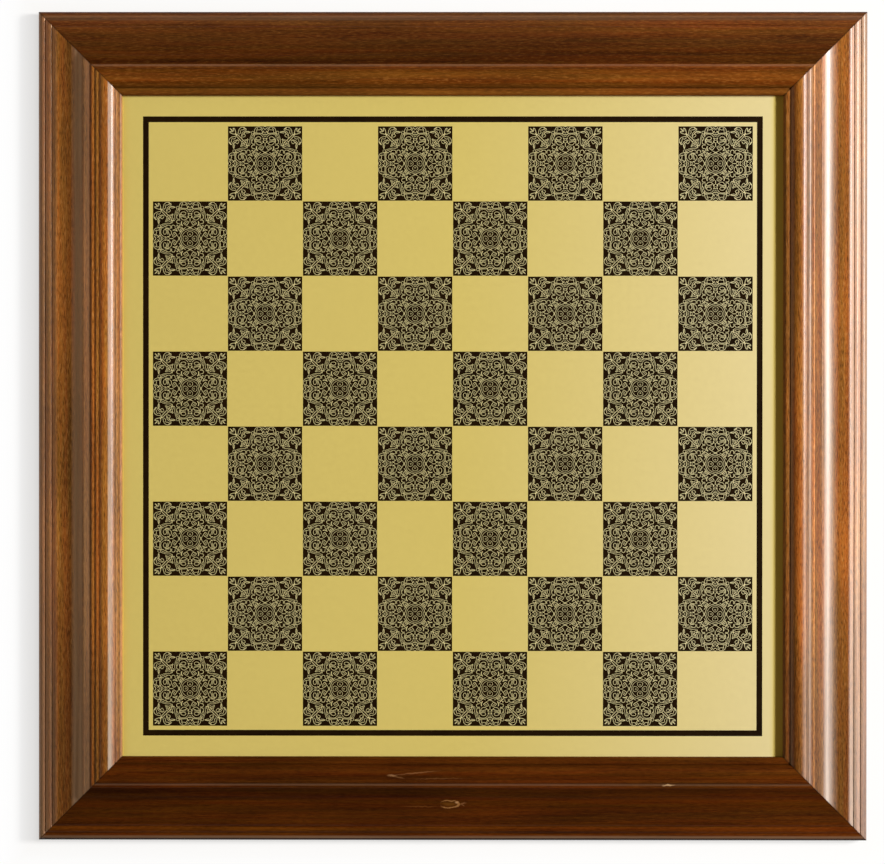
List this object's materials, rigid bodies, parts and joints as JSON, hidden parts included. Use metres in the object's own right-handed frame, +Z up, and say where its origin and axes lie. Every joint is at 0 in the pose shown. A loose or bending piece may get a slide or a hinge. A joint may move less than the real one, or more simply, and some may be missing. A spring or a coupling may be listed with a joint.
{
  "type": "framed chessboard",
  "caption": "Square chessboard with a brass plate, enamelled dark squares with metal scrollwork, and a stepped wooden frame.",
  "frame": {"origin": "middle of the board, on the surface that its felt feet rest on", "axes": "+Z up out of the playing side, +X to the right and +Y to the far side as the near player sees it"},
  "size_m": [0.4434, 0.4434, 0.0176],
  "materials": {
    "frame_wood": "brown stained hardwood under satin lacquer",
    "satin_brass": "pale satin brass with a fine grain",
    "black_enamel": "black enamel fill, satin",
    "glue": "clear to cream adhesive film",
    "core_wood": "raw fibreboard",
    "hardboard": "brown hardboard, smooth side out",
    "zinc_steel": "zinc plated steel",
    "felt": "dark green pressed felt"
  },
  "bodies": {
    "root": {"rail_front": "frame_wood", "rail_right": "frame_wood", "rail_back": "frame_wood", "rail_left": "frame_wood", "playing_plate": "satin_brass", "dark_squares": "black_enamel", "filigree": "satin_brass", "border_line": "black_enamel", "adhesive_film": "glue", "core_board": "core_wood", "back_panel": "hardboard", "panel_screws": "zinc_steel", "mitre_nails": "zinc_steel", "foot_front_left": "felt", "foot_front_right": "felt", "foot_back_right": "felt", "foot_back_left": "felt"}
  },
  "joints": []
}
